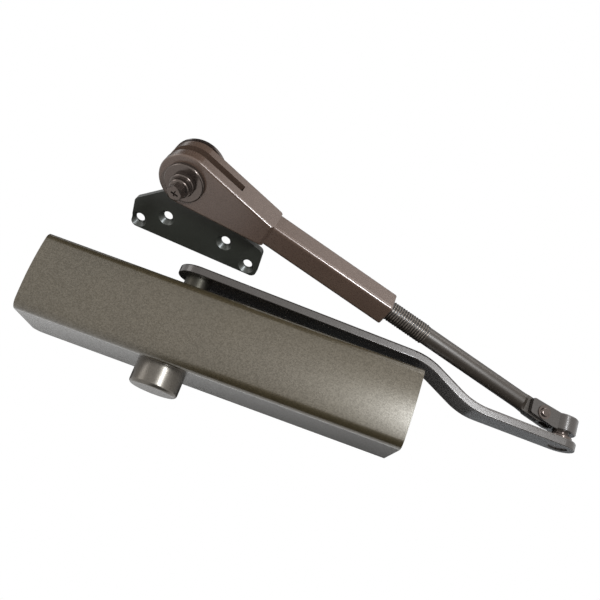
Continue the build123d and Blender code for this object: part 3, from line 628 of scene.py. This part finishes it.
def carved(piece, tools, coat):
    """Apply Boolean tools in turn and freeze the result, smooth but for its sharp edges."""
    name = piece.name
    for operation, tool in tools:
        step = piece.modifiers.new(operation.lower(), "BOOLEAN")
        step.operation = operation
        step.solver = "EXACT"
        step.object = tool
    result = frozen(piece, name)
    for _, tool in tools:
        bpy.data.objects.remove(tool)
    mesh = result.data
    mesh.materials.clear()
    mesh.materials.append(coat)
    mesh.polygons.foreach_set("use_smooth", [True] * len(mesh.polygons))
    mesh.set_sharp_from_angle(angle=sharp_angle)
    return result


def reach_of(node, foot, along):
    """Least and greatest height of a node's points along a line."""
    heights = [(point.co - foot).dot(along) for point in frame["nodes"][node].data.vertices]
    return min(heights), max(heights)


# %% Sizes of the hold-open bolt
bolt_out = -bolt_up
tail_end, head_face = reach_of("hold_bolt", bolt_at, bolt_out)
hex_corner = 0.0111 / math.sqrt(3)
hex_height = 0.0074
hex_sunk = 0.0002
corner_rise = 0.0039
cone_radius = 0.012
face_radius = 0.0052
flange_radius = 0.0078
flange_height = 0.002
flange_clear = 0.00003
foot_chamfer = 0.0003
top_chamfer = 0.0006
neck_rise = 0.001
shank_radius = 0.0032
tail_chamfer = 0.0004
flange_top = head_face - hex_height
flange_foot = flange_top - flange_height + flange_clear
print("bolt from", round(tail_end, 4), "to", round(head_face, 4))

# %% Hold-open bolt
bolt_lay = laid(bolt_at, bolt_out, rod_along)
bolt_head = lathe("bolt_dressed", [
    (hex_corner, flange_top - hex_sunk),
    (hex_corner, head_face),
], bolt_lay, sides=6)
corner_cone = lathe("corner_cone", [
    (cone_radius, flange_foot),
    (cone_radius, head_face - corner_rise),
    (face_radius, head_face),
], bolt_lay)
turned = lathe("turned", [
    (shank_radius - tail_chamfer, tail_end),
    (shank_radius, tail_end + tail_chamfer),
    (shank_radius, flange_foot),
    (flange_radius - foot_chamfer, flange_foot),
    (flange_radius, flange_foot + foot_chamfer),
    (flange_radius, flange_top - top_chamfer),
    (flange_radius - top_chamfer, flange_top),
    (shank_radius, flange_top + neck_rise),
], bolt_lay)
head_lay = laid(bolt_at + bolt_out * head_face, bolt_out, rod_along)
driver = cross_bars("driver", length=0.006, width=0.0014, depth=0.0024, lay=head_lay)
bolt = carved(bolt_head, [("INTERSECT", corner_cone), *driver, ("UNION", turned)], hardware_coat)
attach(bolt, "hold_bolt")
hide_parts("hold_bolt")
print("bolt faces", len(bolt.data.polygons))

# %% Thread on the bolt's tail
tail_start = 0.0223
tail_thread = thread("tail_thread", bolt_at - bolt_out * tail_start, -bolt_out, radius=0.0031,
                     pitch=0.001, length=0.0016, ridge=0.0003, coat=hardware_coat)
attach(tail_thread, "hold_bolt")
print("tail thread faces", len(tail_thread.data.polygons))

# %% [markdown]
# The small screws.  A domed screw with a cross holds each end of the cover, and a socket screw,
# sunk in the arm's hub, holds the arm on its spindle.  They are made with the same tools.  The
# domed screw's profile runs from its tip, through its shank and the rim of its head, to the top
# of the dome at height 0.

# %% Cover screws
cover_screw_y = -0.018
screw_low, screw_high = reach_of("cover_screws", Vector(), sideways)
screw_profile = [(0.0018, -0.0142), (0.002, -0.0138), (0.002, -0.0022), (0.004, -0.0022),
                 (0.004, -0.0016), (0.0036, -0.0009), (0.0026, -0.0003), (0.001, 0.0)]
blanks = []
crosses = []
for end, tip in ((-1, screw_low), (1, screw_high)):
    lay = laid(Vector((tip, cover_screw_y, 0)), sideways * end, upward)
    crosses.append(cross_bars(f"screw_cross_{len(blanks)}", length=0.0042, width=0.001,
                              depth=0.0014, lay=lay))
    blanks.append(lathe(f"screw_{len(blanks)}", screw_profile, lay, sides=32))
cover_screws = carved(blanks[0], [*crosses[0], ("UNION", blanks[1]), *crosses[1]], steel)
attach(cover_screws, "closer")
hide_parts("cover_screws")
print("cover screw faces", len(cover_screws.data.polygons))

# %% Arm screw
socket_corner = 0.0031
socket_depth = 0.0014
socket_over = 0.001
spindle_lay = laid(spindle_at, upward, sideways)
screw_top = reach_of("arm_screw", spindle_at, upward)[1]
arm_screw = bpy.data.objects.new("arm_screw_dressed", frame["nodes"]["arm_screw"].data.copy())
scene.collection.objects.link(arm_screw)
socket = lathe("socket", [
    (socket_corner, screw_top - socket_depth),
    (socket_corner, screw_top + socket_over),
], spindle_lay, sides=6)
arm_screw = carved(arm_screw, [("DIFFERENCE", socket)], steel)
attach(arm_screw, "spindle")
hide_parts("arm_screw")
print("arm screw faces", len(arm_screw.data.polygons))

# %% [markdown]
# The cover's swell.  The cover's front stands out most along its middle and falls back towards
# both long edges, which is what draws the highlight into a band.  The section is drawn point by
# point: a short straight, a round corner, the swelled front, and the corner and the straight
# again, mirrored.  It is closed at the back and drawn out to a bar.  Boolean tools then hollow
# the bar, round off the back corner at its left end and cut its holes.

# %% Sizes of the cover
cover_near = Vector(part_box("cover")[0])
cover_far = Vector(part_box("cover")[1])
cover_half = (cover_far.z - cover_near.z) / 2
cover_wall = 0.0024
cover_swell = 0.004
corner_round = 0.008
corner_straight = 0.0005
back_round = 0.008
spindle_hole = 0.0154
screw_hole = 0.00202
corner_steps = 16
front_steps = 36
overshoot = 0.01
print("cover half height", round(cover_half, 4))


# %% Section of the cover
def cover_section(inset):
    """The cover's upright section from top to foot as (y, z) pairs, moved inwards by an inset."""
    slope = 2 * cover_swell * (cover_half - corner_round) / cover_half ** 2
    lean = math.atan(slope)
    meet = cover_half - corner_round + corner_round * math.sin(lean)
    corner_y = cover_near.y + cover_swell * (meet / cover_half) ** 2 + corner_round * math.cos(lean)
    corner_z = cover_half - corner_round
    radius = corner_round - inset
    upper = [(corner_y + corner_straight, cover_half - inset)]
    for step in range(corner_steps + 1):
        angle = math.pi / 2 + (lean - math.pi / 2) * step / corner_steps
        upper.append((corner_y - radius * math.cos(angle), corner_z + radius * math.sin(angle)))
    front = []
    for step in range(1, front_steps):
        height = meet * (1 - 2 * step / front_steps)
        tilt = math.atan(2 * cover_swell * height / cover_half ** 2)
        setback = cover_near.y + cover_swell * (height / cover_half) ** 2
        front.append((setback + inset * math.cos(tilt), height - inset * math.sin(tilt)))
    lower = [(depth, -height) for depth, height in reversed(upper)]
    return upper + front + lower


def cover_bar(name, inset, back_y, left, right):
    """The section closed by a straight back and drawn along X, as a closed bar."""
    section = cover_section(inset)
    top = section[0][1]
    outline = [(back_y, top), *section, (back_y, -top)]
    rings = [[(x, *pair) for pair in outline] for x in (left, right)]
    return between_rings(name, rings, Matrix())


# %% Tools that cut the cover
cover_hollow = cover_bar("cover_hollow", cover_wall, cover_far.y + overshoot,
                         cover_near.x + cover_wall, cover_far.x - cover_wall)
corner_outline = [(cover_near.x - overshoot, cover_far.y - back_round)]
for step in range(corner_steps + 1):
    angle = math.pi / 2 * step / corner_steps
    corner_outline.append((cover_near.x + back_round * (1 - math.cos(angle)),
                           cover_far.y - back_round * (1 - math.sin(angle))))
corner_outline.append((cover_near.x + back_round, cover_far.y + overshoot))
corner_outline.append((cover_near.x - overshoot, cover_far.y + overshoot))
hole_reach = cover_half + overshoot
corner_rings = [[(*pair, z) for pair in corner_outline] for z in (-hole_reach, hole_reach)]
back_corner = between_rings("back_corner", corner_rings, Matrix())
spindle_tool = lathe("spindle_tool", [
    (spindle_hole, -hole_reach),
    (spindle_hole, hole_reach),
], spindle_lay, sides=64)
screw_tool = lathe("screw_tool", [
    (screw_hole, cover_near.x - overshoot),
    (screw_hole, cover_far.x + overshoot),
], laid(Vector((0, cover_screw_y, 0)), sideways, inward))
cover_tools = [("DIFFERENCE", tool) for tool in (cover_hollow, back_corner, spindle_tool, screw_tool)]
print("cover tools", len(cover_tools))

# %% Swelled cover
outer_bar = cover_bar("cover_swelled", 0, cover_far.y, cover_near.x, cover_far.x)
cover_swelled = carved(outer_bar, cover_tools, cover_coat)
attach(cover_swelled, "closer")
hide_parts("cover")
print("cover faces", len(cover_swelled.data.polygons))

# %% [markdown]
# The main spring.  It lies between the piston and the spring seat, and both of them move, so the real
# spring shortens at either end.  It is wound here in two lengths that meet where neither end's travel
# is felt, one from the piston and one from the seat, and both are attached to the closer's body.

# %% Sizes of the main spring
spring_radius = 0.014
spring_wire_radius = 0.00225
spring_turns = 9
turns_for_piston = 7
turns_for_seat = spring_turns - turns_for_piston
spring_gap = 0.0005
piston_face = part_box("piston")[1][0]
seat_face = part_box("spring_seat")[0][0]
bore_y = spindle_at.y
spring_first = piston_face + spring_gap + spring_wire_radius
spring_pitch = (seat_face - spring_gap - spring_wire_radius - spring_first) / spring_turns
spring_meet = spring_first + turns_for_piston * spring_pitch
print("spring pitch", round(spring_pitch, 4))

# %% Main spring
lengths = (
    ("spring_at_piston", spring_first, turns_for_piston, "piston_slide", spring_meet - piston_face),
    ("spring_at_seat", spring_meet, turns_for_seat, "seat_slide", seat_face - spring_meet),
)
for name, begin, turns, joint, span in lengths:
    coil = thread(name, Vector((begin, bore_y, 0)), sideways, spring_radius, spring_pitch,
                  turns * spring_pitch, spring_wire_radius, spring_wire, sides=12)
    coil.data.polygons.foreach_set("use_smooth", [True] * len(coil.data.polygons))
    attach(coil, "closer")
    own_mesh(coil)
    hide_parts("main_spring")

# %% [markdown]
# Broken edges.  No sheared or machined edge is perfectly sharp, and the light line along a
# broken edge is what makes metal look like metal.  A Bevel modifier does this on five of the
# pieces that keep their solid's own mesh.

# %% Broken edges
edge_segments = 2
edge_angle = math.radians(35)
broken = {
    "shoe": 0.0005,
    "knuckle": 0.0006,
    "hold_nut": 0.0005,
    "lock_washer": 0.0003,
    "arm_washer": 0.00015,
}
for node, width in broken.items():
    edge_break = frame["nodes"][node].modifiers.new("broken_edge", "BEVEL")
    edge_break.width = width
    edge_break.segments = edge_segments
    edge_break.limit_method = "ANGLE"
    edge_break.angle_limit = edge_angle
print("broken edges on", ", ".join(broken))
